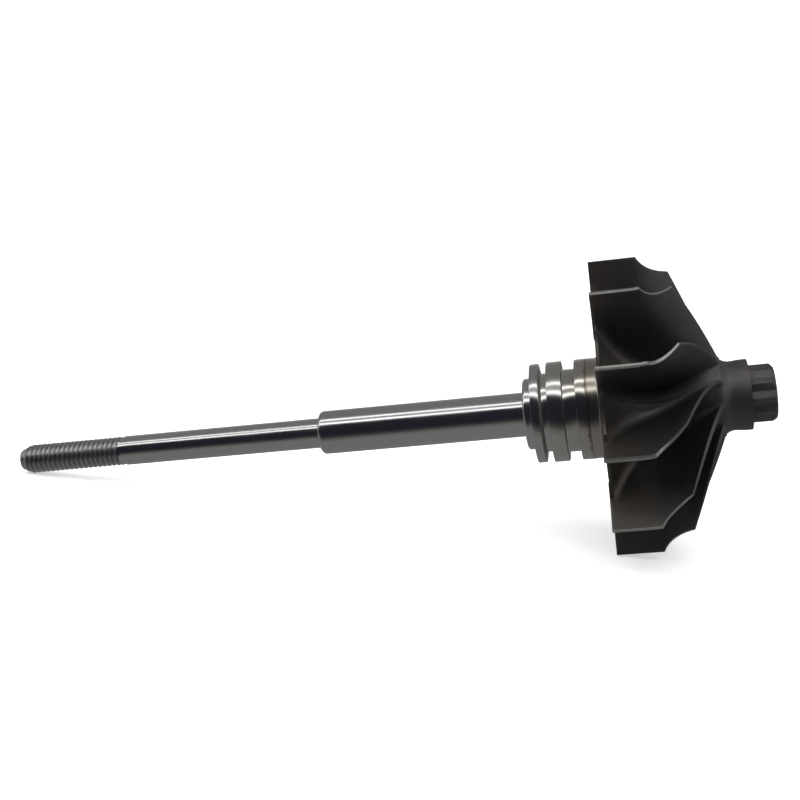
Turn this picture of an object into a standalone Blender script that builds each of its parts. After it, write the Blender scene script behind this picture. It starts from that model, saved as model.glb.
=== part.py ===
"""Turbocharger turbine rotor: a cast turbine wheel welded to a ground steel shaft.

The rotor lies on the floor as it does on a table: on the back corners of two blade tips and on
the end of its thread. Each piece is modelled along its own +Z, which is the rotor's axis from the
thread to the nose, with z = 0 at the wheel's back face. One empty lays them all down.
"""

from math import atan2, cos, exp, pi, radians, sin

import bmesh
import bpy
from mathutils import Matrix

MM = 0.001
INCH = 25.4 * MM
GAP = 0.3 * MM

# Driving sizes, from the photograph's proportions and a 5/16 inch thread
BLADES = 11
WHEEL_RADIUS = 38.0 * MM
THREAD_RADIUS = 5 / 32 * INCH
THREAD_PITCH = INCH / 18

# Wheel blades: tip width, exducer, the arc between them, trailing edge and camber
TIP_WIDTH = 0.315 * WHEEL_RADIUS
EXDUCER_Z = 0.52 * WHEEL_RADIUS
EXDUCER_RADIUS = 0.88 * WHEEL_RADIUS
ARC_START = radians(20)
TRAILING_Z = 0.785 * WHEEL_RADIUS
CAMBER_START = 0.26 * WHEEL_RADIUS
CAMBER_TURN = radians(40)
CAMBER_POWER = 2.0
BLADE_ROOT = 2.4 * MM
BLADE_TIP = 1.2 * MM
BLADE_THINNING = 0.35
BLADE_SINK = 1.2 * MM
TIP_STEPS = 2
ARC_STEPS = 5
SPAN_STEPS = 5

# Wheel hub: its outline falls away from the flat rim of the back disc along an exponential
HUB_RADIUS = 0.262 * WHEEL_RADIUS
DISC_RADIUS = 0.78 * WHEEL_RADIUS
FLARE_RADIUS = 0.725 * WHEEL_RADIUS
HUB_FALL = 0.18 * WHEEL_RADIUS
DISC_BACK = 0.3 * MM
RIM_FRONT = 1.0 * MM
HUB_STEPS = 8
HUB_SPACING = 1.5
SCALLOP_RADIUS = 0.24 * WHEEL_RADIUS
SCALLOP_CENTRE = 0.96 * WHEEL_RADIUS
SCALLOP_SIDES = 20
SCALLOP_DEPTH = 20 * MM

# Nose and its 12-point drive, 13 mm across flats
NOSE_RADIUS = 9.1 * MM
NOSE_START = 32.6 * MM
NOSE_FILLET = 0.35
NOSE_END = 37.0 * MM
NOSE_CHAMFER = 0.6 * MM
DRIVE_ACROSS_FLATS = 13.0 * MM
DRIVE_POINTS = 12
DRIVE_END = 43.3 * MM
DRIVE_CHAMFER = 1.0 * MM
CENTRE_RADIUS = 1.5 * MM
CENTRE_DEPTH = 2.2 * MM
DRIVE_SIDES = 24

# Weld band between the wheel's boss and the shaft's collar
BOSS_RADIUS = 13.1 * MM
BOSS_END = -1.3 * MM
WELD_RADIUS = 13.1 * MM
WELD_FRONT = -2.3 * MM
WELD_WIDTH = 1.0 * MM

# Shaft, from the collar to the thread
LAND_RADIUS = 13.15 * MM
RING_GROOVE_RADIUS = 10.8 * MM
RING_GROOVE = (-9.55 * MM, -6.2 * MM)
SLINGER_RADIUS = 13.0 * MM
SLINGER_FLOOR = 10.3 * MM
SLINGER_GROOVE = (-15.5 * MM, -13.4 * MM)
SLINGER_END = -17.7 * MM
FLANGE_RADIUS = 9.4 * MM
FLANGE_END = -20.0 * MM
JOURNAL_RADIUS = 5.85 * MM
JOURNAL_END = -75.4 * MM
JOURNAL_ROUND = 1.2 * MM
ROUND_STEPS = 4
STUB_RADIUS = 4.05 * MM
STUB_END = -131.4 * MM
NECK_RADIUS = 3.8 * MM
THREAD_START = -132.8 * MM
THREAD_CHAMFER = 2.8 * MM
SHAFT_END = -162.5 * MM
END_RADIUS = 2.7 * MM
EDGE = 0.35 * MM
THREAD_DEPTH = 0.85 * MM
THREAD_STEPS = 16
GROOVE_HALF_WIDTH = 0.58 * MM
GROOVE_REACH = 0.3 * MM
GROOVE_ANGLE = radians(4)

SHAFT_SIDES = 32
WHEEL_SIDES = 4 * BLADES


def clear_scene():
    for item in list(bpy.data.objects):
        bpy.data.objects.remove(item, do_unlink=True)


def new_collection(name):
    collection = bpy.data.collections.new(name)
    bpy.context.scene.collection.children.link(collection)
    return collection


def principled(name, colour, metallic, roughness):
    material = bpy.data.materials.new(name)
    material.use_nodes = True
    shader = material.node_tree.nodes["Principled BSDF"]
    shader.inputs["Base Color"].default_value = (*colour, 1)
    shader.inputs["Metallic"].default_value = metallic
    shader.inputs["Roughness"].default_value = roughness
    return material


def add_mesh(name, build, collection):
    """Makes an object whose mesh is filled by build(bm)."""
    bm = bmesh.new()
    build(bm)
    mesh = bpy.data.meshes.new(name)
    bm.to_mesh(mesh)
    bm.free()
    item = bpy.data.objects.new(name, mesh)
    collection.objects.link(item)
    return item


def turned(name, profile, sides, collection):
    """A body turned about Z from (radius, height) points that run from top to bottom."""

    def build(bm):
        points = [bm.verts.new((radius, 0, height)) for radius, height in profile]
        for first, second in zip(points, points[1:]):
            bm.edges.new((first, second))

    item = add_mesh(name, build, collection)
    screw = item.modifiers.new("turn", "SCREW")
    screw.steps = sides
    screw.render_steps = sides
    screw.use_merge_vertices = True
    screw.merge_threshold = 0.00001
    return item


def guide(item):
    item.hide_render = True
    item.display_type = "WIRE"
    return item


def combine(item, other, operation):
    boolean = item.modifiers.new(other.name, "BOOLEAN")
    boolean.operation = operation
    boolean.object = other


def hub_radius(height):
    fall = exp(-max(height - RIM_FRONT, 0) / HUB_FALL)
    return HUB_RADIUS + (FLARE_RADIUS - HUB_RADIUS) * fall


def camber(height):
    """How far a blade has turned about the axis at this height."""
    reach = max(height - CAMBER_START, 0) / (TRAILING_Z - CAMBER_START)
    return CAMBER_TURN * reach**CAMBER_POWER


def shroud_point(step):
    """The blade's outer edge: the straight inducer tip, then a hollow arc of an ellipse."""
    if step <= TIP_STEPS:
        return WHEEL_RADIUS, TIP_WIDTH * step / TIP_STEPS
    turn = ARC_START + (pi / 2 - ARC_START) * (step - TIP_STEPS) / ARC_STEPS
    inward = (sin(turn) - sin(ARC_START)) / (1 - sin(ARC_START))
    along = 1 - cos(turn) / cos(ARC_START)
    radius = WHEEL_RADIUS - (WHEEL_RADIUS - EXDUCER_RADIUS) * inward
    return radius, TIP_WIDTH + (EXDUCER_Z - TIP_WIDTH) * along


def build_blade(bm):
    """A flat grid over the blade, each vertex moved to its place on the cambered surface."""
    columns = TIP_STEPS + ARC_STEPS
    bmesh.ops.create_grid(bm, x_segments=columns, y_segments=SPAN_STEPS, size=0.5)
    layer = bm.verts.layers.deform.verify()
    for vert in bm.verts:
        step = round((vert.co.x + 0.5) * columns)
        span = vert.co.y + 0.5
        tip_radius, tip_height = shroud_point(step)
        root_height = TRAILING_Z * step / columns
        root_radius = hub_radius(root_height) - BLADE_SINK
        radius = root_radius + (tip_radius - root_radius) * span
        height = root_height + (tip_height - root_height) * span
        angle = -camber(height)
        vert.co = (radius * cos(angle), radius * sin(angle), height)
        thinner_root = 1 - BLADE_THINNING * step / columns
        vert[layer][0] = thinner_root + (BLADE_TIP / BLADE_ROOT - thinner_root) * span


def add_blade(number, collection):
    blade = add_mesh(f"blade_{number}", build_blade, collection)
    blade.vertex_groups.new(name="thickness")
    turn = Matrix.Rotation(2 * pi * (number + 0.5) / BLADES, 4, "Z")
    blade.data.transform(turn)
    solidify = blade.modifiers.new("thickness", "SOLIDIFY")
    solidify.thickness = BLADE_ROOT
    solidify.offset = 0
    solidify.vertex_group = "thickness"
    return guide(blade)


def add_scallop(number, collection):
    def build(bm):
        turn = Matrix.Rotation(2 * pi * number / BLADES, 4, "Z")
        place = turn @ Matrix.Translation((SCALLOP_CENTRE, 0, 0))
        bmesh.ops.create_cone(
            bm,
            cap_ends=True,
            segments=SCALLOP_SIDES,
            radius1=SCALLOP_RADIUS,
            radius2=SCALLOP_RADIUS,
            depth=SCALLOP_DEPTH,
            matrix=place,
        )

    return guide(add_mesh(f"scallop_{number}", build, collection))


def add_drive(collection):
    """The 12-point drive: two hexagons as one star, with its end turned to a chamfer."""
    corner = DRIVE_ACROSS_FLATS / 2 / cos(pi / 6)
    notch = DRIVE_ACROSS_FLATS / 2 / cos(pi / DRIVE_POINTS)
    bottom = NOSE_START
    depth = DRIVE_END - bottom

    def build(bm):
        bmesh.ops.create_cone(
            bm,
            cap_ends=True,
            segments=2 * DRIVE_POINTS,
            radius1=corner,
            radius2=corner,
            depth=depth,
            matrix=Matrix.Translation((0, 0, bottom + depth / 2)),
        )
        for vert in bm.verts:
            place = round(atan2(vert.co.y, vert.co.x) / (pi / DRIVE_POINTS))
            if place % 2:
                vert.co.x *= notch / corner
                vert.co.y *= notch / corner

    drive = guide(add_mesh("drive", build, collection))
    cone = [
        (0, DRIVE_END - CENTRE_DEPTH),
        (CENTRE_RADIUS, DRIVE_END),
        (corner - DRIVE_CHAMFER, DRIVE_END),
        (corner + DRIVE_CHAMFER, DRIVE_END - 2 * DRIVE_CHAMFER),
        (corner + DRIVE_CHAMFER, bottom - DRIVE_CHAMFER),
        (0, bottom - DRIVE_CHAMFER),
    ]
    blank = guide(turned("drive_blank", cone, DRIVE_SIDES, collection))
    combine(drive, blank, "INTERSECT")
    return drive


def add_wheel(collection, cutters):
    shares = [(step / HUB_STEPS) ** HUB_SPACING for step in range(HUB_STEPS, -1, -1)]
    heights = [RIM_FRONT + (TRAILING_Z - RIM_FRONT) * share for share in shares]
    profile = [(0, NOSE_END), (NOSE_RADIUS - NOSE_CHAMFER, NOSE_END)]
    profile += [(NOSE_RADIUS, NOSE_END - NOSE_CHAMFER), (NOSE_RADIUS, NOSE_START)]
    middle = (NOSE_START + TRAILING_Z) / 2
    step_out = hub_radius(TRAILING_Z) - NOSE_RADIUS
    profile.append((NOSE_RADIUS + NOSE_FILLET * step_out, middle))
    profile += [(hub_radius(height), height) for height in heights]
    profile += [(DISC_RADIUS, RIM_FRONT), (DISC_RADIUS, DISC_BACK)]
    profile += [(BOSS_RADIUS, BOSS_END), (BOSS_RADIUS, WELD_FRONT + GAP), (0, WELD_FRONT + GAP)]
    wheel = turned("turbine_wheel", profile, WHEEL_SIDES, collection)
    for number in range(BLADES):
        combine(wheel, add_scallop(number, cutters), "DIFFERENCE")
    for number in range(BLADES):
        combine(wheel, add_blade(number, cutters), "UNION")
    combine(wheel, add_drive(cutters), "UNION")
    wheel.data.materials.append(principled("cast_alloy", (0.045, 0.043, 0.042), 0.75, 0.5))
    return wheel


def add_weld(collection):
    back = WELD_FRONT - WELD_WIDTH
    profile = [(0, WELD_FRONT), (WELD_RADIUS, WELD_FRONT), (WELD_RADIUS, back), (0, back)]
    weld = turned("weld_seam", profile, SHAFT_SIDES, collection)
    weld.data.materials.append(principled("weld_tint", (0.16, 0.11, 0.07), 0.8, 0.4))
    return weld


def add_groove(collection):
    """The thread's V groove: a section swept down a left-hand helix, shallower at its first turn."""
    first = THREAD_START + THREAD_PITCH / 2
    turns = (first - SHAFT_END) / THREAD_PITCH + 1
    steps = round(turns * THREAD_STEPS)
    mouth = THREAD_RADIUS + GROOVE_REACH / 3
    outside = THREAD_RADIUS + GROOVE_REACH
    half = GROOVE_HALF_WIDTH * (THREAD_DEPTH + GROOVE_REACH / 3) / THREAD_DEPTH
    section = [(THREAD_RADIUS - THREAD_DEPTH, 0), (mouth, half), (outside, half)]
    section += [(outside, -half), (mouth, -half)]

    def build(bm):
        points = [bm.verts.new((radius, 0, first + height)) for radius, height in section]
        for index, point in enumerate(points):
            bm.edges.new((points[index - 1], point))
        bmesh.ops.spin(
            bm,
            geom=bm.verts[:] + bm.edges[:],
            axis=(0, 0, 1),
            dvec=(0, 0, -THREAD_PITCH / THREAD_STEPS),
            angle=2 * pi * steps / THREAD_STEPS,
            steps=steps,
        )
        ends = [edge for edge in bm.edges if edge.is_boundary]
        bmesh.ops.holes_fill(bm, edges=ends)
        bmesh.ops.recalc_face_normals(bm, faces=bm.faces)
        bmesh.ops.rotate(bm, verts=bm.verts, matrix=Matrix.Rotation(GROOVE_ANGLE, 3, "Z"))
        for vert in bm.verts:
            fade = (vert.co.z - first + THREAD_PITCH) / THREAD_PITCH
            lift = 1 + max(0, min(1, fade)) * THREAD_DEPTH / THREAD_RADIUS
            vert.co.x *= lift
            vert.co.y *= lift

    return guide(add_mesh("thread_groove", build, collection))


def add_shaft(collection, cutters):
    top = WELD_FRONT - WELD_WIDTH - GAP
    profile = [(0, top), (LAND_RADIUS, top)]
    profile += [(LAND_RADIUS, RING_GROOVE[1]), (RING_GROOVE_RADIUS, RING_GROOVE[1])]
    profile += [(RING_GROOVE_RADIUS, RING_GROOVE[0]), (LAND_RADIUS, RING_GROOVE[0])]
    profile += [(LAND_RADIUS, SLINGER_GROOVE[1]), (SLINGER_FLOOR, SLINGER_GROOVE[1])]
    profile += [(SLINGER_FLOOR, SLINGER_GROOVE[0] + EDGE), (SLINGER_RADIUS, SLINGER_GROOVE[0])]
    profile += [(SLINGER_RADIUS, SLINGER_END), (FLANGE_RADIUS, SLINGER_END)]
    profile += [(FLANGE_RADIUS, FLANGE_END + EDGE), (FLANGE_RADIUS - EDGE, FLANGE_END)]
    profile += [(JOURNAL_RADIUS, FLANGE_END)]
    for step in range(ROUND_STEPS + 1):
        turn = pi / 2 * step / ROUND_STEPS
        radius = JOURNAL_RADIUS - JOURNAL_ROUND * (1 - cos(turn))
        profile.append((radius, JOURNAL_END + JOURNAL_ROUND * (1 - sin(turn))))
    profile += [(STUB_RADIUS, JOURNAL_END), (STUB_RADIUS, STUB_END + EDGE)]
    profile += [(NECK_RADIUS, STUB_END), (NECK_RADIUS, THREAD_START + EDGE)]
    profile += [(THREAD_RADIUS, THREAD_START), (THREAD_RADIUS, SHAFT_END + THREAD_CHAMFER)]
    profile += [(END_RADIUS, SHAFT_END), (CENTRE_RADIUS, SHAFT_END), (0, SHAFT_END + CENTRE_DEPTH)]
    shaft = turned("shaft", profile, SHAFT_SIDES, collection)
    combine(shaft, add_groove(cutters), "DIFFERENCE")
    shaft.data.materials.append(principled("ground_steel", (0.55, 0.55, 0.56), 1.0, 0.22))
    return shaft


def lay_down(collection, cutters):
    """Rests the rotor on two blade tips and the end of its thread."""
    tip_drop = WHEEL_RADIUS * cos(pi / BLADES) + BLADE_TIP / 2 * sin(pi / BLADES)
    reach = -(SHAFT_END + THREAD_CHAMFER)
    slope = atan2(tip_drop - THREAD_RADIUS, reach)
    left = SHAFT_END * cos(slope) - END_RADIUS * sin(slope)
    right = DRIVE_END * cos(slope) + DRIVE_ACROSS_FLATS / 2 * sin(slope)
    rest = bpy.data.objects.new("rotor_axis", None)
    rest.location = (-(left + right) / 2, 0, tip_drop * cos(slope))
    rest.rotation_euler = (0, pi / 2 - slope, 0)
    for item in [*collection.objects, *cutters.objects]:
        item.parent = rest
    collection.objects.link(rest)


def main():
    clear_scene()
    rotor = new_collection("turbocharger_rotor")
    cutters = new_collection("cutters")
    add_wheel(rotor, cutters)
    add_weld(rotor)
    add_shaft(rotor, cutters)
    lay_down(rotor, cutters)


main()
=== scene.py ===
# %% [markdown]
# # A turbocharger's shaft and wheel
# This is the turning part of a turbocharger's hot side. Exhaust gas spins a cast wheel, and a ground
# steel shaft carries that spin to the compressor at its other end. The wheel and the shaft are two
# pieces of metal that were welded into one, so nothing here moves. We start from the exact CAD solids,
# which are the frame, and give each piece the fine surface and finish that the real one has.

from math import acos, atan2, cos, exp, hypot, pi, radians, sin

import bpy
from mathutils import Matrix, Vector


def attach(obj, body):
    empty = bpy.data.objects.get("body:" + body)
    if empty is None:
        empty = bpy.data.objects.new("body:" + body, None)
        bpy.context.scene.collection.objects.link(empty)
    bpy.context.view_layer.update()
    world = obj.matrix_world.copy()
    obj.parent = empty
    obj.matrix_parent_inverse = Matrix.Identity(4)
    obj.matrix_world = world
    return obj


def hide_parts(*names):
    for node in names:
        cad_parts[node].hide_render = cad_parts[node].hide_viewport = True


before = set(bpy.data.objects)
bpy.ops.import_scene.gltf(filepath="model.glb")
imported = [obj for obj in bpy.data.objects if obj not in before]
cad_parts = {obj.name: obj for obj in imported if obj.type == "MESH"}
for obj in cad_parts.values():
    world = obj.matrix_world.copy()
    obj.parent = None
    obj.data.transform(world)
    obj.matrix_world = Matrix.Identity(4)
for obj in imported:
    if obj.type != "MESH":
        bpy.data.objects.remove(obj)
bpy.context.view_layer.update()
print("nodes in the frame:", ", ".join(sorted(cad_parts)))

# %% [markdown]
# The rotor lies as it does on a table: on two blade tips and on the end of its thread. Its own axis
# therefore climbs from the floor. Every piece below is modelled about an upright axis, because turned
# work is easiest there, and is then laid down by one matrix. We work in millimetres times `MM`, so a
# size reads as it would on a drawing.

# %% Driving sizes and the way the rotor lies
MM = 0.001
INCH = 25.4 * MM
BLADES = 11
WHEEL_RADIUS = 38.0 * MM
BLADE_TIP = 1.2 * MM
THREAD_RADIUS = 5 / 32 * INCH
SHAFT_END = -162.5 * MM
THREAD_CHAMFER = 2.8 * MM
END_RADIUS = 2.7 * MM
DRIVE_END = 43.3 * MM
ACROSS_FLATS = 13.0 * MM

tip_drop = WHEEL_RADIUS * cos(pi / BLADES) + BLADE_TIP / 2 * sin(pi / BLADES)
slope = atan2(tip_drop - THREAD_RADIUS, -(SHAFT_END + THREAD_CHAMFER))
left = SHAFT_END * cos(slope) - END_RADIUS * sin(slope)
right = DRIVE_END * cos(slope) + ACROSS_FLATS / 2 * sin(slope)
rest_place = Vector((-(left + right) / 2, 0, tip_drop * cos(slope)))
rest_turn = (0, pi / 2 - slope, 0)
lay_down = Matrix.Translation(rest_place) @ Matrix.Rotation(rest_turn[1], 4, "Y")
print("the axis climbs", round(slope * 180 / pi, 2), "degrees")

# %% [markdown]
# The camera stands where the photographer's did. Its place was worked out from how much the shaft
# narrows towards its far end. The picture is tipped by a few degrees, so the camera rolls, and it was
# trimmed a little, so the lens is shifted down by a small part of the frame.

# %% Camera
camera_data = bpy.data.cameras.new("camera")
camera_data.sensor_width = 36
camera_data.lens = 56.1
camera_data.shift_y = -0.06
camera_data.clip_start = 0.01
camera = bpy.data.objects.new("camera", camera_data)
bpy.context.scene.collection.objects.link(camera)
camera_place = Vector((0.0537, -0.3224, 0.0985))
camera_aim = Vector((0.0038, 0.0, 0.0450))
camera_roll = radians(4.37)
look = (camera_aim - camera_place).to_track_quat("-Z", "Y").to_matrix().to_4x4()
camera.matrix_world = Matrix.Translation(camera_place) @ look @ Matrix.Rotation(camera_roll, 4, "Z")
bpy.context.scene.camera = camera
print("the camera is", round((camera_place - camera_aim).length, 3), "m away")

# %% [markdown]
# Modelling by hand is a chain of edit-mode steps, and each step acts on what is selected. Two small
# helpers do the selecting, so that no step touches a piece that it isn't meant for.


# %% Helpers that select
def only(piece):
    bpy.ops.object.select_all(action="DESELECT")
    piece.select_set(True)
    bpy.context.view_layer.objects.active = piece


def edit(piece, kind="VERT"):
    only(piece)
    bpy.ops.object.mode_set(mode="EDIT")
    bpy.ops.mesh.select_mode(type=kind)


print("pieces can be selected and edited")

# %% [markdown]
# Most of the rotor is turned work. A lathe makes a round piece from its outline, and `turned` does the
# same: one vertex is extruded along the outline, point by point, and the outline is spun about the
# axis. The spin ends where it began, so the seam and the points on the axis are merged.

# %% A lathe
SEAM = 0.002 * MM


def turned(name, outline, sides):
    """A piece turned about Z from (radius, height) points that run from top to bottom."""
    bpy.ops.object.select_all(action="DESELECT")
    bpy.ops.mesh.primitive_plane_add(size=MM)
    piece = bpy.context.object
    piece.name = name
    edit(piece)
    bpy.ops.mesh.select_all(action="SELECT")
    bpy.ops.mesh.merge(type="CENTER")
    here = (0, 0)
    for step, there in enumerate(outline):
        move = (there[0] - here[0], 0, there[1] - here[1])
        if step:
            bpy.ops.mesh.extrude_region_move(TRANSFORM_OT_translate={"value": move})
        else:
            bpy.ops.transform.translate(value=move)
        here = there
    bpy.ops.mesh.select_all(action="SELECT")
    bpy.ops.mesh.spin(steps=sides, angle=2 * pi, center=(0, 0, 0), axis=(0, 0, 1))
    bpy.ops.mesh.select_all(action="SELECT")
    bpy.ops.mesh.remove_doubles(threshold=SEAM)
    bpy.ops.mesh.normals_make_consistent(inside=False)
    bpy.ops.object.mode_set(mode="OBJECT")
    return piece


print("a turned piece's seam is merged within", SEAM / MM, "mm")

# %% [markdown]
# Modifiers do the rest of the shaping: Bevel breaks an edge, and Boolean joins or cuts. Each is applied
# at once, so that the next step works on plain mesh.


# %% Helpers for modifiers
def apply(piece, name, kind, **settings):
    only(piece)
    modifier = piece.modifiers.new(name, kind)
    for key, value in settings.items():
        setattr(modifier, key, value)
    bpy.ops.object.modifier_apply(modifier=modifier.name)


def break_edges(piece, name, width, angle):
    """Bevels every edge that turns by more than this angle."""
    settings = {"width": width, "segments": 2, "limit_method": "ANGLE", "angle_limit": radians(angle)}
    apply(piece, name, "BEVEL", **settings)


def combine(piece, other, operation):
    apply(piece, operation.lower(), "BOOLEAN", operation=operation, object=other)
    bpy.data.objects.remove(other, do_unlink=True)


print("edges can be broken, and pieces cut and joined")

# %% [markdown]
# A Boolean leaves slivers along its cuts, and faces with many corners. Both look harmless, but a
# program that reads the mesh later can trip over them. `in_place` merges the slivers, cuts the faces
# with many corners into triangles, and lays the finished piece down for good.

# %% Finish a piece
SLIVER = 0.004 * MM


def in_place(piece, smooth_angle=35):
    edit(piece)
    bpy.ops.mesh.select_all(action="SELECT")
    bpy.ops.mesh.remove_doubles(threshold=SLIVER)
    bpy.ops.mesh.dissolve_degenerate(threshold=SLIVER)
    bpy.ops.mesh.delete_loose()
    bpy.ops.mesh.select_mode(type="FACE")
    bpy.ops.mesh.select_all(action="DESELECT")
    bpy.ops.mesh.select_face_by_sides(number=4, type="GREATER")
    bpy.ops.mesh.quads_convert_to_tris()
    bpy.ops.mesh.select_all(action="SELECT")
    bpy.ops.mesh.dissolve_degenerate(threshold=SLIVER)
    bpy.ops.object.mode_set(mode="OBJECT")
    piece.data.transform(lay_down)
    only(piece)
    bpy.ops.object.shade_smooth_by_angle(angle=radians(smooth_angle))
    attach(piece, "root")
    print(piece.name, "has", len(piece.data.polygons), "faces")


print("slivers under", SLIVER / MM, "mm are merged")

# %% [markdown]
# The shaft is one bar, turned and then ground. From the wheel it has a seal collar of three lands, a
# small flange, a thick journal that runs in the bearings, a thinner stub for the compressor, a short
# neck and the thread. We write down the steps of its outline as a turner's drawing would give them.

# %% Sizes of the shaft
LAND_RADIUS = 13.1 * MM
LAND_FRONT = -3.3 * MM
RING_GROOVE_RADIUS = 10.8 * MM
RING_GROOVE = (-9.55 * MM, -6.2 * MM)
SLINGER_RADIUS = 12.95 * MM
SLINGER_FLOOR = 10.3 * MM
SLINGER_GROOVE = (-15.5 * MM, -13.4 * MM)
SLINGER_TAPER = 0.5 * MM
SLINGER_END = -17.7 * MM
FLANGE_RADIUS = 9.35 * MM
FLANGE_END = -20.0 * MM
FLANGE_ROUND = 0.8 * MM
JOURNAL_RADIUS = 5.83 * MM
JOURNAL_END = -75.4 * MM
JOURNAL_ROUND = 1.2 * MM
STUB_RADIUS = 4.04 * MM
STUB_END = -131.4 * MM
STUB_CHAMFER = 0.7 * MM
NECK_RADIUS = 3.79 * MM
THREAD_START = -132.8 * MM
THREAD_LEAD_IN = 0.3 * MM
CREST_RADIUS = THREAD_RADIUS - 0.02 * MM
CENTRE_RADIUS = 1.5 * MM
CENTRE_DEPTH = 2.2 * MM
print("the bar is", round((LAND_FRONT - SHAFT_END) / MM, 1), "mm long")

# %% [markdown]
# The outline runs from the collar's front to the hole that a lathe's centre leaves in the far end. Two
# of its corners are round, and a quarter circle needs no list of points: a formula gives them.

# %% Shaft outline
ROUND_STEPS = 8


def quarter(centre, radius, start, steps=ROUND_STEPS):
    """Points round a quarter circle, from the angle start and down."""
    turns = [start - pi / 2 * step / steps for step in range(steps + 1)]
    return [(centre[0] + radius * cos(turn), centre[1] + radius * sin(turn)) for turn in turns]


collar = [(0, LAND_FRONT), (LAND_RADIUS, LAND_FRONT)]
collar += [(LAND_RADIUS, RING_GROOVE[1]), (RING_GROOVE_RADIUS, RING_GROOVE[1])]
collar += [(RING_GROOVE_RADIUS, RING_GROOVE[0]), (LAND_RADIUS, RING_GROOVE[0])]
collar += [(LAND_RADIUS, SLINGER_GROOVE[1]), (SLINGER_FLOOR, SLINGER_GROOVE[1])]
collar += [(SLINGER_FLOOR, SLINGER_GROOVE[0] + SLINGER_TAPER), (SLINGER_RADIUS, SLINGER_GROOVE[0])]
collar += [(SLINGER_RADIUS, SLINGER_END), (FLANGE_RADIUS, SLINGER_END)]
collar += quarter((FLANGE_RADIUS - FLANGE_ROUND, FLANGE_END + FLANGE_ROUND), FLANGE_ROUND, 0)
collar += [(JOURNAL_RADIUS, FLANGE_END)]
bar = quarter((JOURNAL_RADIUS - JOURNAL_ROUND, JOURNAL_END + JOURNAL_ROUND), JOURNAL_ROUND, 0)
bar += [(STUB_RADIUS, JOURNAL_END), (STUB_RADIUS, STUB_END), (NECK_RADIUS, STUB_END - STUB_CHAMFER)]
bar += [(NECK_RADIUS, THREAD_START + THREAD_LEAD_IN), (CREST_RADIUS, THREAD_START)]
bar += [(CREST_RADIUS, SHAFT_END + THREAD_CHAMFER), (END_RADIUS, SHAFT_END)]
bar += [(CENTRE_RADIUS, SHAFT_END), (0, SHAFT_END + CENTRE_DEPTH)]
print("the shaft's outline has", len(collar + bar), "points")

# %% [markdown]
# The edges of a ground bar are broken by a fine chamfer, and that is what catches the light. Drawn into
# the outline it would double the points, so a Bevel modifier breaks the edges after the turning.

# %% Turn the shaft and break its edges
TURNED_SIDES = 96

shaft = turned("ground_shaft", collar + bar, TURNED_SIDES)
break_edges(shaft, "broken edges", width=0.16 * MM, angle=25)
print("the shaft has", len(shaft.data.polygons), "faces before its thread")

# %% [markdown]
# The thread is left-handed: seen from its end it winds the other way from an ordinary screw, so that
# the spin never loosens the compressor's nut. Bump would leave its outline straight, so we cut a real
# groove. Its pointed section is drawn beside the bar, a little wider than the bar's surface needs, so
# that the cut comes out clean.

# %% Section of the thread's groove
THREAD_PITCH = INCH / 18
THREAD_DEPTH = 0.78 * MM
GROOVE_ROOT = 0.09 * MM
GROOVE_MOUTH = 0.64 * MM
GROOVE_RISE = 0.1 * MM
GROOVE_LIP = 0.2 * MM

first = THREAD_START + THREAD_PITCH / 2
turns = int((first - SHAFT_END) / THREAD_PITCH) + 1
root = THREAD_RADIUS - THREAD_DEPTH
mouth = THREAD_RADIUS + GROOVE_RISE
section = [(root, GROOVE_ROOT), (mouth, GROOVE_MOUTH), (mouth + GROOVE_LIP, GROOVE_MOUTH)]
section += [(mouth + GROOVE_LIP, -GROOVE_MOUTH), (mouth, -GROOVE_MOUTH), (root, -GROOVE_ROOT)]
bpy.ops.object.select_all(action="DESELECT")
bpy.ops.mesh.primitive_circle_add(vertices=len(section), radius=MM, fill_type="NOTHING")
groove = bpy.context.object
for vert, (radius, height) in zip(groove.data.vertices, section):
    vert.co = (radius, 0, first + height)
print("the thread's pitch is", round(THREAD_PITCH / MM, 3), "mm")

# %% [markdown]
# The Screw modifier sweeps the section down a helix. A negative offset winds it left-handed. Its two
# ends are filled to close it, and over its first turn it rises out of the bar, so that the thread runs
# out at the neck instead of ending in a hole.

# %% Sweep the groove down a left-hand helix
THREAD_STEPS = 48

helix = {"steps": THREAD_STEPS, "render_steps": THREAD_STEPS}
apply(groove, "helix", "SCREW", screw_offset=-THREAD_PITCH, iterations=turns, **helix)
edit(groove)
bpy.ops.mesh.select_all(action="DESELECT")
bpy.ops.mesh.select_non_manifold()
bpy.ops.mesh.fill()
bpy.ops.mesh.select_all(action="SELECT")
bpy.ops.mesh.normals_make_consistent(inside=False)
bpy.ops.object.mode_set(mode="OBJECT")
for vert in groove.data.vertices:
    fade = min(1, max(0, (vert.co.z - first + THREAD_PITCH) / THREAD_PITCH))
    lift = 1 + fade * THREAD_DEPTH / THREAD_RADIUS
    vert.co.x *= lift
    vert.co.y *= lift
print("the groove has", turns, "turns")

# %% [markdown]
# A Boolean takes the groove away. Grinding reaches only the bar's round faces, so the sides of its
# steps keep their turned finish. Their faces look along the bar, and by that we find them and give
# them a second material.

# %% Cut the thread and mark the turned faces
STEP_SIDE = 0.7

combine(shaft, groove, "DIFFERENCE")
sides = 0
for face in shaft.data.polygons:
    if abs(face.normal.z) > STEP_SIDE and face.center.z > JOURNAL_END:
        face.material_index = 1
        sides += 1
in_place(shaft)
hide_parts("shaft")
print(sides, "faces on the sides of the steps are only turned")

# %% [markdown]
# The wheel and the shaft meet in a weld. It was ground flush afterwards, so all that shows is a band
# of bare metal with a thin brown line of heat tint. It is a ring of its own between the last land and
# the wheel's boss. It stands a hundredth of a millimetre proud of the land and six of the boss, so that
# the three surfaces never fall into one, and its edges are chamfered as finely.

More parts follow.
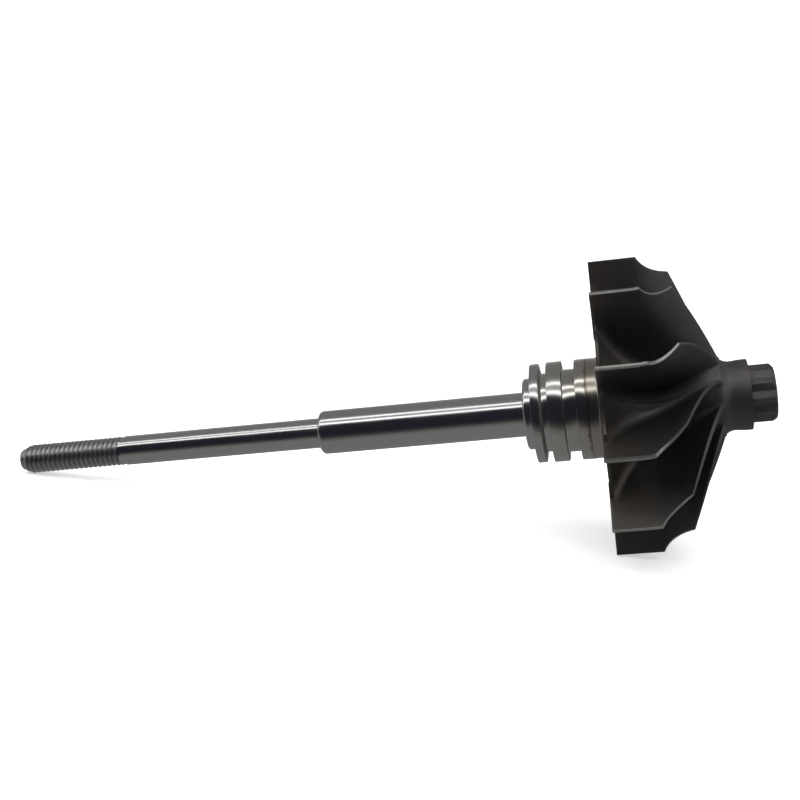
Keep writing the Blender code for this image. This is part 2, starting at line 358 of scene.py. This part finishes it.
# %% Weld ring
WELD_FRONT = -2.3 * MM
WELD_RADIUS = 13.11 * MM
WELD_STEP = 0.03 * MM
WELD_BACK = LAND_FRONT - 0.2 * MM

weld_outline = [(0, WELD_FRONT), (WELD_RADIUS - WELD_STEP, WELD_FRONT)]
weld_outline += [(WELD_RADIUS, WELD_FRONT - WELD_STEP), (WELD_RADIUS, WELD_BACK + WELD_STEP)]
weld_outline += [(WELD_RADIUS - WELD_STEP, WELD_BACK), (0, WELD_BACK)]
weld = turned("weld_ring", weld_outline, TURNED_SIDES)
in_place(weld)
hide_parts("weld_seam")

# %% [markdown]
# The wheel is one investment casting. Its hub falls away from a thin back disc along a curve that
# steers the gas from flowing inwards to flowing along the axis. That curve is close to an exponential,
# so one formula gives it, and the same formula tells the blades below where the hub is.

# %% Sizes of the hub
HUB_RADIUS = 0.262 * WHEEL_RADIUS
DISC_RADIUS = 0.775 * WHEEL_RADIUS
FLARE_RADIUS = 0.72 * WHEEL_RADIUS
HUB_FALL = 0.18 * WHEEL_RADIUS
DISC_BACK = 0.3 * MM
RIM_FRONT = 1.0 * MM
TRAILING_Z = 0.785 * WHEEL_RADIUS
NOSE_RADIUS = 9.05 * MM
NOSE_WAIST = 8.85 * MM
NOSE_START = 32.6 * MM
NOSE_BEAD = 35.4 * MM
NOSE_END = 37.0 * MM
BOSS_RADIUS = 13.05 * MM
BOSS_END = -1.0 * MM
BOSS_HOLLOW = 0.7 * MM


def hub_radius(height):
    return HUB_RADIUS + (FLARE_RADIUS - HUB_RADIUS) * exp(-max(height - RIM_FRONT, 0) / HUB_FALL)


print("the hub is", round(2 * hub_radius(TRAILING_Z) / MM, 1), "mm across where the blades end")

# %% [markdown]
# The outline starts at the nose, which has a bead at its end and a slight waist behind it. It follows
# the hub's curve with points that crowd together where the curve is tight, turns round the rim of the
# disc, and ends in the small hollow where the back disc meets the boss.

# %% Turn the hub
HUB_STEPS = 40
HUB_SPACING = 1.5
NOSE_STEPS = 8
WHEEL_SIDES = 16 * BLADES

hub_outline = [(0, NOSE_END), (NOSE_RADIUS, NOSE_END), (NOSE_RADIUS, NOSE_BEAD)]
for step in range(1, NOSE_STEPS):
    share = step / NOSE_STEPS
    dip = (NOSE_RADIUS - NOSE_WAIST) * (1 - cos(pi * share)) / 2
    hub_outline.append((NOSE_RADIUS - dip, NOSE_BEAD + (NOSE_START - NOSE_BEAD) * share))
for step in range(NOSE_STEPS):
    share = step / NOSE_STEPS
    swell = (hub_radius(TRAILING_Z) - NOSE_WAIST) * share**2
    hub_outline.append((NOSE_WAIST + swell, NOSE_START + (TRAILING_Z - NOSE_START) * share))
for step in range(HUB_STEPS, -1, -1):
    height = RIM_FRONT + (TRAILING_Z - RIM_FRONT) * (step / HUB_STEPS) ** HUB_SPACING
    hub_outline.append((hub_radius(height), height))
hub_outline += [(DISC_RADIUS, RIM_FRONT), (DISC_RADIUS, DISC_BACK)]
for step in range(1, NOSE_STEPS):
    turn = pi / 2 * step / NOSE_STEPS
    out = BOSS_HOLLOW * (1 - sin(turn))
    hub_outline.append((BOSS_RADIUS + out, BOSS_END + BOSS_HOLLOW * cos(turn)))
hub_outline += [(BOSS_RADIUS, BOSS_END)]
hub_outline += [(BOSS_RADIUS, WELD_FRONT), (0, WELD_FRONT)]
wheel = turned("cast_wheel", hub_outline, WHEEL_SIDES)
print("the hub has", len(wheel.data.polygons), "faces")

# %% [markdown]
# A full disc would be heavy and would crack in the heat, so it is scalloped: between every two blades a
# round bite is missing. Each bite is a cylinder that a Boolean takes away. The edges of a casting are
# never sharp, so they are then rounded, more than those of the ground bar.

# %% Scallops in the back disc
SCALLOP_RADIUS = 0.24 * WHEEL_RADIUS
SCALLOP_CENTRE = 0.96 * WHEEL_RADIUS
SCALLOP_SIDES = 64
CUTTER_DEPTH = 20 * MM

for number in range(BLADES):
    turn = 2 * pi * number / BLADES
    bpy.ops.object.select_all(action="DESELECT")
    bpy.ops.mesh.primitive_cylinder_add(
        vertices=SCALLOP_SIDES,
        radius=SCALLOP_RADIUS,
        depth=CUTTER_DEPTH,
        location=(SCALLOP_CENTRE * cos(turn), SCALLOP_CENTRE * sin(turn), 0),
    )
    cutter = bpy.context.object
    combine(wheel, cutter, "DIFFERENCE")
break_edges(wheel, "cast edges", width=0.3 * MM, angle=40)
print("the scalloped hub has", len(wheel.data.polygons), "faces")

# %% [markdown]
# A blade is a thin cambered sheet. Near its tip it stands straight out, and towards the nose it curls
# about the axis to let the gas leave. Its outer edge has to clear the turbine housing, so it is a
# straight tip and then a hollow arc. Both are formulas, and so is the room that two scallops leave for
# a blade's root.

# %% Blade outline
TIP_WIDTH = 0.315 * WHEEL_RADIUS
EXDUCER_Z = 0.52 * WHEEL_RADIUS
EXDUCER_RADIUS = 0.88 * WHEEL_RADIUS
ARC_START = radians(20)
CAMBER_START = 0.26 * WHEEL_RADIUS
CAMBER_TURN = radians(40)
TIP_COLUMNS = 10
ARC_COLUMNS = 18
COLUMNS = TIP_COLUMNS + ARC_COLUMNS


def camber(height):
    """How far a blade has turned about the axis at this height."""
    reach = max(height - CAMBER_START, 0) / (TRAILING_Z - CAMBER_START)
    return CAMBER_TURN * reach**2


def shroud(column):
    """The blade's outer edge: its straight tip, then a hollow arc of an ellipse."""
    if column <= TIP_COLUMNS:
        return WHEEL_RADIUS, TIP_WIDTH * column / TIP_COLUMNS
    turn = ARC_START + (pi / 2 - ARC_START) * (column - TIP_COLUMNS) / ARC_COLUMNS
    inward = (sin(turn) - sin(ARC_START)) / (1 - sin(ARC_START))
    along = 1 - cos(turn) / cos(ARC_START)
    radius = WHEEL_RADIUS - (WHEEL_RADIUS - EXDUCER_RADIUS) * inward
    return radius, TIP_WIDTH + (EXDUCER_Z - TIP_WIDTH) * along


def disc_room(radius):
    """Half the width of disc that two scallops leave at this radius."""
    reach = (radius**2 + SCALLOP_CENTRE**2 - SCALLOP_RADIUS**2) / (2 * radius * SCALLOP_CENTRE)
    return radius * (pi / BLADES - acos(min(reach, 1)))


print("a blade's tip is", round(TIP_WIDTH / MM, 1), "mm wide")

# %% [markdown]
# Each point of the blade has a place and a thickness. The sheet thins towards its tip and its trailing
# edge. Close to the hub the thickness flares out along a quarter circle. That is the fillet, which a
# casting needs where metal meets metal, and it shrinks where the scallops leave it little room.

# %% Blade surface
ROOT_THICKNESS = 2.2 * MM
TIP_THICKNESS = 1.1 * MM
THINNING = 0.5
THINNING_CURVE = 1.5
FILLET = 2.4 * MM
FADING_COLUMNS = 6
LEAST_FADE = 0.15
SCALLOP_GAP = 0.1 * MM
SINK = 0.4 * MM
FILLET_ROWS = 8
SPAN_ROWS = 20
ROWS = 1 + FILLET_ROWS + SPAN_ROWS


def blade_point(column, row):
    """Place and thickness of one point of the blade's middle surface."""
    tip_radius, tip_height = shroud(column)
    root_height = TRAILING_Z * column / COLUMNS
    root_radius = hub_radius(root_height)
    rise = tip_radius - root_radius
    run = tip_height - root_height
    length = hypot(rise, run)
    hub_slope = (HUB_RADIUS - root_radius) / HUB_FALL
    steep = hypot(1, hub_slope)
    lean = (rise - hub_slope * run) / (length * steep)
    thinner = 1 - THINNING * (column / COLUMNS) ** THINNING_CURVE
    root = ROOT_THICKNESS * thinner
    fade = min(1, LEAST_FADE + (COLUMNS - column) / FADING_COLUMNS)
    fillet = min(FILLET * fade, disc_room(root_radius) - root / 2 - SCALLOP_GAP)
    turn = pi / 2 * (1 - min(1, max(0, row - 1) / FILLET_ROWS))
    flare = fillet * (1 - cos(turn))
    curve = (root / 2 + flare) ** 2 / (2 * root_radius * steep)
    along = (fillet * (1 - sin(turn)) - curve) / lean
    if row == 0:
        along -= SINK / lean
    if row > 1 + FILLET_ROWS:
        along += (length - along) * (row - 1 - FILLET_ROWS) / SPAN_ROWS
    span = along / length
    radius = root_radius + rise * span
    height = root_height + run * span
    thickness = root + (TIP_THICKNESS * thinner - root) * max(span, 0) + 2 * flare
    angle = -camber(height)
    return (radius * cos(angle), radius * sin(angle), height), thickness


print("the fillet at a blade's root is", round(FILLET / MM, 1), "mm")

# %% [markdown]
# We start from a flat grid and move each vertex onto the cambered surface. The thickness is painted
# into a vertex group, which the Solidify modifier follows. That keeps both sides of the blade true to
# one middle surface.

# %% Shape one blade
full_thickness = ROOT_THICKNESS + 2 * FILLET
bpy.ops.object.select_all(action="DESELECT")
bpy.ops.mesh.primitive_grid_add(x_subdivisions=COLUMNS, y_subdivisions=ROWS, size=1)
blade = bpy.context.object
group = blade.vertex_groups.new(name="thickness")
for vert in blade.data.vertices:
    column = round((vert.co.x + 0.5) * COLUMNS)
    row = round((vert.co.y + 0.5) * ROWS)
    place, thickness = blade_point(column, row)
    vert.co = place
    group.add([vert.index], thickness / full_thickness, "REPLACE")
apply(blade, "thickness", "SOLIDIFY", thickness=full_thickness, offset=0, vertex_group="thickness")
break_edges(blade, "cast edges", width=0.12 * MM, angle=60)
print("one blade has", len(blade.data.polygons), "faces")

# %% [markdown]
# All eleven blades are alike, so one is modelled and each place round the hub gets a copy with a mesh
# of its own. A Boolean union melts it into the hub, as in the real casting, so no inner walls stay.

# %% Set the blades round the hub
for number in range(BLADES):
    copy = blade.copy()
    copy.data = blade.data.copy()
    bpy.context.scene.collection.objects.link(copy)
    copy.data.transform(Matrix.Rotation(2 * pi * (number + 0.5) / BLADES, 4, "Z"))
    combine(wheel, copy, "UNION")
bpy.data.objects.remove(blade, do_unlink=True)
print("the bladed wheel has", len(wheel.data.polygons), "faces")

# %% [markdown]
# The nose ends in a 12-point drive, which a socket holds while the compressor's nut is tightened. It
# is two hexagons laid over each other. A cylinder with 24 sides becomes that star when every second
# edge is pulled inwards. Its end is turned to a chamfer, so the star is cut by a turned blank.

# %% 12-point drive
POINTS = 12
DRIVE_CHAMFER = 1.0 * MM

corner = ACROSS_FLATS / 2 / cos(pi / 6)
notch = ACROSS_FLATS / 2 / cos(pi / POINTS)
bpy.ops.object.select_all(action="DESELECT")
bpy.ops.mesh.primitive_cylinder_add(
    vertices=2 * POINTS,
    radius=corner,
    depth=DRIVE_END - NOSE_START,
    location=(0, 0, (DRIVE_END + NOSE_START) / 2),
)
drive = bpy.context.object
bpy.ops.object.transform_apply(location=True, rotation=True, scale=True)
for vert in drive.data.vertices:
    if round(atan2(vert.co.y, vert.co.x) / (pi / POINTS)) % 2:
        vert.co.x *= notch / corner
        vert.co.y *= notch / corner
wide = corner + DRIVE_CHAMFER
blank = [(0, DRIVE_END - CENTRE_DEPTH), (CENTRE_RADIUS, DRIVE_END)]
blank += [(corner - DRIVE_CHAMFER, DRIVE_END), (wide, DRIVE_END - 2 * DRIVE_CHAMFER)]
blank += [(wide, NOSE_START - DRIVE_CHAMFER), (0, NOSE_START - DRIVE_CHAMFER)]
drive_blank = turned("drive_blank", blank, TURNED_SIDES)
combine(drive, drive_blank, "INTERSECT")
break_edges(drive, "worn corners", width=0.12 * MM, angle=20)
combine(wheel, drive, "UNION")
print("the drive is", round(ACROSS_FLATS / MM), "mm across its flats")

# %% [markdown]
# Not all of the casting stays as cast. Its boss is turned with the shaft, and the tips of its blades
# are ground to fit the housing. Those faces get materials of their own, and they are found by where
# they are: the outline of a blade's tip is a formula, so a face that lies on it is a tip.

# %% Mark the machined faces
TIP_DEPTH = 0.13 * MM
BOSS_FACE = 1
TIP_FACE = 2


def shroud_radius(height):
    """The radius of a blade's outer edge at this height, or nothing past the exducer."""
    if height <= TIP_WIDTH:
        return WHEEL_RADIUS
    if height > EXDUCER_Z:
        return None
    along = (height - TIP_WIDTH) / (EXDUCER_Z - TIP_WIDTH)
    turn = acos((1 - along) * cos(ARC_START))
    inward = (sin(turn) - sin(ARC_START)) / (1 - sin(ARC_START))
    return WHEEL_RADIUS - (WHEEL_RADIUS - EXDUCER_RADIUS) * inward


machined = 0
for face in wheel.data.polygons:
    height = face.center.z
    radius = hypot(face.center.x, face.center.y)
    edge = shroud_radius(height)
    on_tip = edge is not None and radius > edge - TIP_DEPTH
    on_boss = height < BOSS_END / 2 and radius < BOSS_RADIUS + BOSS_HOLLOW
    if on_tip or on_boss:
        face.material_index = TIP_FACE if on_tip else BOSS_FACE
        machined += 1
in_place(wheel, 40)
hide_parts("turbine_wheel")
print(machined, "faces of the wheel are machined")

# %% [markdown]
# Every finish here is metal. A material can know where it is on the rotor: Object coordinates are
# turned back by a Mapping node, so that their Z runs along the rotor's axis. Each material starts from
# one Principled shader and that space.


# %% Start a material
def node(tree, kind, **settings):
    item = tree.nodes.new(kind)
    for key, value in settings.items():
        setattr(item, key, value)
    return item


def new_material(name, metallic, roughness):
    material = bpy.data.materials.new(name)
    material.use_nodes = True
    shader = material.node_tree.nodes["Principled BSDF"]
    shader.inputs["Metallic"].default_value = metallic
    shader.inputs["Roughness"].default_value = roughness
    return material, material.node_tree, shader


def rotor_space(tree):
    """Object coordinates with Z along the rotor's axis and zero at the wheel's back."""
    coordinates = node(tree, "ShaderNodeTexCoord")
    mapping = node(tree, "ShaderNodeMapping", vector_type="TEXTURE")
    mapping.inputs["Location"].default_value = rest_place
    mapping.inputs["Rotation"].default_value = rest_turn
    tree.links.new(coordinates.outputs["Object"], mapping.inputs["Vector"])
    return mapping.outputs["Vector"]


print("the rotor's space starts", round(rest_place.z / MM, 1), "mm above the floor")

# %% [markdown]
# These helpers make patterns. `noise` is a cloud that can be squashed along any axis. Grinding marks
# run round the bar, so `grinding` squashes the noise hard along the axis and leaves it long around it.
# `ramp` turns a number into a colour between stops, and `grey` is a colour with three equal parts.

# %% Patterns
RINGS = (15, 15, 8000)


def grey(value):
    return (value, value, value)


def noise(tree, vector, scale, detail, squash=(1, 1, 1)):
    stretch = node(tree, "ShaderNodeMapping")
    stretch.inputs["Scale"].default_value = squash
    texture = node(tree, "ShaderNodeTexNoise")
    texture.inputs["Scale"].default_value = scale
    texture.inputs["Detail"].default_value = detail
    tree.links.new(vector, stretch.inputs["Vector"])
    tree.links.new(stretch.outputs["Vector"], texture.inputs["Vector"])
    return texture.outputs["Fac"]


def grinding(tree, space):
    return noise(tree, space, scale=1, detail=2, squash=RINGS)


def ramp(tree, value, stops):
    item = node(tree, "ShaderNodeValToRGB")
    while len(item.color_ramp.elements) < len(stops):
        item.color_ramp.elements.new(0.5)
    for element, (position, colour) in zip(item.color_ramp.elements, stops):
        element.position = position
        element.color = (*colour, 1)
    tree.links.new(value, item.inputs["Fac"])
    return item.outputs["Color"]


print("grinding marks are", RINGS[2] // RINGS[0], "times as long as they are wide")

# %% [markdown]
# Three more helpers put patterns to work. `along_rotor` changes a colour along the axis, for heat that
# fades away from the weld. `blend` lays one pattern over another, and `bump` presses one into the
# surface.


# %% Colour along the rotor, blends and bump
def along_rotor(tree, space, stops):
    """A colour that changes along the rotor, from stops of (millimetres, colour)."""
    split = node(tree, "ShaderNodeSeparateXYZ")
    place = node(tree, "ShaderNodeMapRange")
    low = stops[0][0]
    high = stops[-1][0]
    place.inputs["From Min"].default_value = low * MM
    place.inputs["From Max"].default_value = high * MM
    tree.links.new(space, split.inputs["Vector"])
    tree.links.new(split.outputs["Z"], place.inputs["Value"])
    shares = [((height - low) / (high - low), colour) for height, colour in stops]
    return ramp(tree, place.outputs["Result"], shares)


def blend(tree, kind, first, second):
    item = node(tree, "ShaderNodeMix", data_type="RGBA", blend_type=kind)
    item.inputs["Factor"].default_value = 1
    tree.links.new(first, item.inputs["A"])
    tree.links.new(second, item.inputs["B"])
    return item.outputs["Result"]


def bump(tree, shader, value, strength, distance):
    item = node(tree, "ShaderNodeBump")
    item.inputs["Strength"].default_value = strength
    item.inputs["Distance"].default_value = distance
    tree.links.new(value, item.inputs["Height"])
    tree.links.new(item.outputs["Normal"], shader.inputs["Normal"])


print("patterns can be blended and pressed in")

# %% [markdown]
# The bar is ground steel, close to a mirror. Fine rings of brighter and darker metal, a gloss that
# wanders a little and a trace of bump keep it from looking like chrome. The collar sits beside the
# weld and has browned, and the thread is rougher than ground metal, so both change along the rotor.

# %% Ground steel
THREAD_FULL = -133.1
THREAD_NONE = -132.7

steel, tree, shader = new_material("ground_steel", metallic=1.0, roughness=0.2)
space = rotor_space(tree)
marks = grinding(tree, space)
patches = noise(tree, space, scale=90, detail=3)
bright = ramp(tree, marks, [(0.3, (0.51, 0.515, 0.52)), (0.7, (0.58, 0.58, 0.575))])
gloss = ramp(tree, patches, [(0.3, grey(0.13)), (0.7, grey(0.19))])
bump(tree, shader, marks, strength=0.12, distance=0.002 * MM)
browned = [(-20.0, grey(1)), (-10.0, (0.95, 0.92, 0.87)), (-3.3, (0.86, 0.80, 0.72))]
warm = along_rotor(tree, space, browned)
dull = along_rotor(tree, space, [(THREAD_FULL, (0.82, 0.82, 0.83)), (THREAD_NONE, grey(1))])
rough = along_rotor(tree, space, [(THREAD_FULL, grey(0.33)), (THREAD_NONE, grey(0))])
tinted = blend(tree, "MULTIPLY", bright, warm)
tree.links.new(blend(tree, "MULTIPLY", tinted, dull), shader.inputs["Base Color"])
tree.links.new(blend(tree, "LIGHTEN", gloss, rough), shader.inputs["Roughness"])
print("made", steel.name)

# %% [markdown]
# The sides of the steps were turned and never ground. They have the same rings, but they scatter the
# light, so this steel is rougher and a little darker.

# %% Turned steel
turned_steel, tree, shader = new_material("turned_steel", metallic=0.9, roughness=0.45)
space = rotor_space(tree)
marks = grinding(tree, space)
colour = ramp(tree, marks, [(0.3, (0.44, 0.43, 0.41)), (0.7, (0.52, 0.51, 0.49))])
tree.links.new(colour, shader.inputs["Base Color"])
for material in (steel, turned_steel):
    shaft.data.materials.append(material)
print("made", turned_steel.name)

# %% [markdown]
# Heat leaves a skin of oxide on steel, and its colour tells how hot the metal was. Here it is a thin
# brown line that fades to straw. It changes only along the rotor, over about half a millimetre.

# %% Weld tint
tint, tree, shader = new_material("weld_tint", metallic=1.0, roughness=0.2)
space = rotor_space(tree)
marks = grinding(tree, space)
brown = [(-3.5, (0.47, 0.44, 0.39)), (-3.4, (0.30, 0.235, 0.18)), (-3.2, (0.22, 0.16, 0.12))]
brown += [(-3.05, (0.40, 0.35, 0.30)), (-2.3, (0.44, 0.40, 0.36))]
tree.links.new(along_rotor(tree, space, brown), shader.inputs["Base Color"])
bump(tree, shader, marks, strength=0.12, distance=0.002 * MM)
weld.data.materials.append(tint)
print("made", tint.name)

# %% [markdown]
# The wheel's nickel alloy is dark and satin from the mould. Large clouds shift it between cool and warm
# grey, a fine grain roughens it, and near the weld the heat has warmed its colour.

# %% Cast alloy
cast, tree, shader = new_material("cast_alloy", metallic=0.97, roughness=0.5)
space = rotor_space(tree)
cloud = noise(tree, space, scale=60, detail=4)
grain = noise(tree, space, scale=2500, detail=4)
colour = ramp(tree, cloud, [(0.3, (0.113, 0.115, 0.123)), (0.7, (0.168, 0.156, 0.144))])
gloss = ramp(tree, grain, [(0.3, grey(0.5)), (0.7, grey(0.62))])
heated = [(0, (1.0, 0.92, 0.84)), (10, (0.97, 0.94, 0.91)), (18, (0.94, 0.94, 0.95))]
heat = along_rotor(tree, space, heated)
tree.links.new(blend(tree, "MULTIPLY", colour, heat), shader.inputs["Base Color"])
tree.links.new(gloss, shader.inputs["Roughness"])
bump(tree, shader, grain, strength=0.25, distance=0.02 * MM)
print("made", cast.name)

# %% [markdown]
# The boss is the same alloy, but turned bright with the shaft. It is a little browner and less sharp
# than the ground steel beside it.

# %% Turned alloy
turned_alloy, tree, shader = new_material("turned_alloy", metallic=1.0, roughness=0.3)
space = rotor_space(tree)
marks = grinding(tree, space)
colour = ramp(tree, marks, [(0.3, (0.38, 0.35, 0.31)), (0.7, (0.45, 0.415, 0.37))])
gloss = ramp(tree, marks, [(0.3, grey(0.18)), (0.7, grey(0.25))])
tree.links.new(colour, shader.inputs["Base Color"])
tree.links.new(gloss, shader.inputs["Roughness"])
bump(tree, shader, marks, strength=0.15, distance=0.004 * MM)
print("made", turned_alloy.name)

# %% [markdown]
# The blade tips are ground with a coarse wheel. They show as thin pale lines along the dark blades, so
# this finish matters more than its area says.

# %% Ground tips
tips, tree, shader = new_material("ground_tips", metallic=0.9, roughness=0.42)
space = rotor_space(tree)
marks = grinding(tree, space)
colour = ramp(tree, marks, [(0.3, (0.30, 0.295, 0.285)), (0.7, (0.38, 0.375, 0.36))])
tree.links.new(colour, shader.inputs["Base Color"])
for material in (cast, turned_alloy, tips):
    wheel.data.materials.append(material)
print("made", tips.name)

# %% [markdown]
# The rotor lies on a plain pale floor that curves up behind it, as in a small studio. A plane becomes
# that sheet when its back edge is extruded upwards and the fold is bevelled round. The white floor
# would wash the steel out, so reflections pass it by, and a little glow of its own keeps it white.

# %% Floor
FLOOR_WIDTH = 6
FLOOR_DEPTH = 3
BACKDROP_HEIGHT = 3
COVE_RADIUS = 1.0

bpy.ops.object.select_all(action="DESELECT")
bpy.ops.mesh.primitive_plane_add(size=1)
floor = bpy.context.object
floor.name = "floor"
floor.data.transform(Matrix.Diagonal((FLOOR_WIDTH, FLOOR_DEPTH, 1, 1)))
edit(floor, "EDGE")
bpy.ops.mesh.select_all(action="DESELECT")
bpy.ops.object.mode_set(mode="OBJECT")
for edge in floor.data.edges:
    ends = [floor.data.vertices[index].co.y for index in edge.vertices]
    edge.select = min(ends) > 0
bpy.ops.object.mode_set(mode="EDIT")
bpy.ops.mesh.extrude_region_move(TRANSFORM_OT_translate={"value": (0, 0, BACKDROP_HEIGHT)})
bpy.ops.object.mode_set(mode="OBJECT")
cove = {"width": COVE_RADIUS, "segments": 16, "limit_method": "ANGLE", "angle_limit": radians(30)}
apply(floor, "cove", "BEVEL", **cove)
only(floor)
bpy.ops.object.shade_smooth()
paper, tree, shader = new_material("paper", metallic=0.0, roughness=0.8)
shader.inputs["Base Color"].default_value = (*grey(0.9), 1)
shader.inputs["Emission Color"].default_value = (*grey(1), 1)
shader.inputs["Emission Strength"].default_value = 0.45
floor.data.materials.append(paper)
floor.visible_glossy = False
print("the floor is", round(floor.dimensions.x), "m wide")

# %% [markdown]
# One wide soft light hangs above. It only fills the floor and the dark casting, so polished metal
# doesn't mirror it: the lamps that show in the steel belong to the room below.

# %% Fill light
light_data = bpy.data.lights.new("fill", "AREA")
light_data.shape = "RECTANGLE"
light_data.size = 2.4
light_data.size_y = 2.4
light_data.energy = 24
fill = bpy.data.objects.new("fill", light_data)
bpy.context.scene.collection.objects.link(fill)
fill_place = Vector((0, -0.2, 1.5))
fill_aim = Vector((0, 0, 0.03))
fill.location = fill_place
fill.rotation_euler = (fill_aim - fill_place).to_track_quat("-Z", "Y").to_euler()
fill.visible_glossy = False
print("the fill light gives", round(light_data.energy), "W")

# %% [markdown]
# Polished steel is a mirror, so its look is that of the room. This room has two long lamps above the
# camera, grey walls and a dark front. A turn about the long axis says where a direction points: 0
# degrees is level towards the camera, 90 is straight up and 180 is level away from it. The lamps and
# the walls are stops along that turn.

# %% Colours of the room
LAMP_POWER = 2.6
GREY = (0.093, 0.094, 0.093)
DIM = (0.076, 0.075, 0.072)
DUSK = (0.031, 0.030, 0.029)
DARK = (0.008, 0.009, 0.012)
BACK = grey(0.18)
LAMP = grey(1.0)
BETWEEN = grey(0.16)

walls = [(-180, BACK), (-165, BACK), (-150, GREY), (-48, GREY), (-35, DIM), (-25, DUSK), (-12, DARK)]
walls += [(45, DARK), (50, BETWEEN), (52, LAMP), (59, LAMP), (60, BETWEEN), (74, BETWEEN)]
walls += [(75, LAMP), (82, LAMP), (83, BETWEEN), (95, GREY), (155, GREY), (170, BACK)]
print("the room has", len(walls), "stops")

# %% [markdown]
# The room is the world's colour, so it needs no walls that could get in the camera's way. The camera
# itself sees plain white in its place, as the backdrop of a studio is.

# %% Room
world = bpy.data.worlds.new("studio")
bpy.context.scene.world = world
world.use_nodes = True
tree = world.node_tree
room = tree.nodes["Background"]
room.inputs["Strength"].default_value = LAMP_POWER
direction = node(tree, "ShaderNodeTexCoord")
split = node(tree, "ShaderNodeSeparateXYZ")
front = node(tree, "ShaderNodeMath", operation="MULTIPLY")
front.inputs[1].default_value = -1
around = node(tree, "ShaderNodeMath", operation="ARCTAN2")
share = node(tree, "ShaderNodeMapRange")
share.inputs["From Min"].default_value = -pi
share.inputs["From Max"].default_value = pi
tree.links.new(direction.outputs["Generated"], split.inputs["Vector"])
tree.links.new(split.outputs["Y"], front.inputs[0])
tree.links.new(split.outputs["Z"], around.inputs[0])
tree.links.new(front.outputs["Value"], around.inputs[1])
tree.links.new(around.outputs["Value"], share.inputs["Value"])
stops = [((turn + 180) / 360, colour) for turn, colour in walls]
tree.links.new(ramp(tree, share.outputs["Result"], stops), room.inputs["Color"])
plain = node(tree, "ShaderNodeBackground")
plain.inputs["Color"].default_value = (*grey(1), 1)
seen = node(tree, "ShaderNodeLightPath")
mix = node(tree, "ShaderNodeMixShader")
tree.links.new(seen.outputs["Is Camera Ray"], mix.inputs["Fac"])
tree.links.new(room.outputs["Background"], mix.inputs[1])
tree.links.new(plain.outputs["Background"], mix.inputs[2])
tree.links.new(mix.outputs["Shader"], tree.nodes["World Output"].inputs["Surface"])
bpy.context.scene.view_settings.view_transform = "Standard"
print("the lamps' strength is", LAMP_POWER)
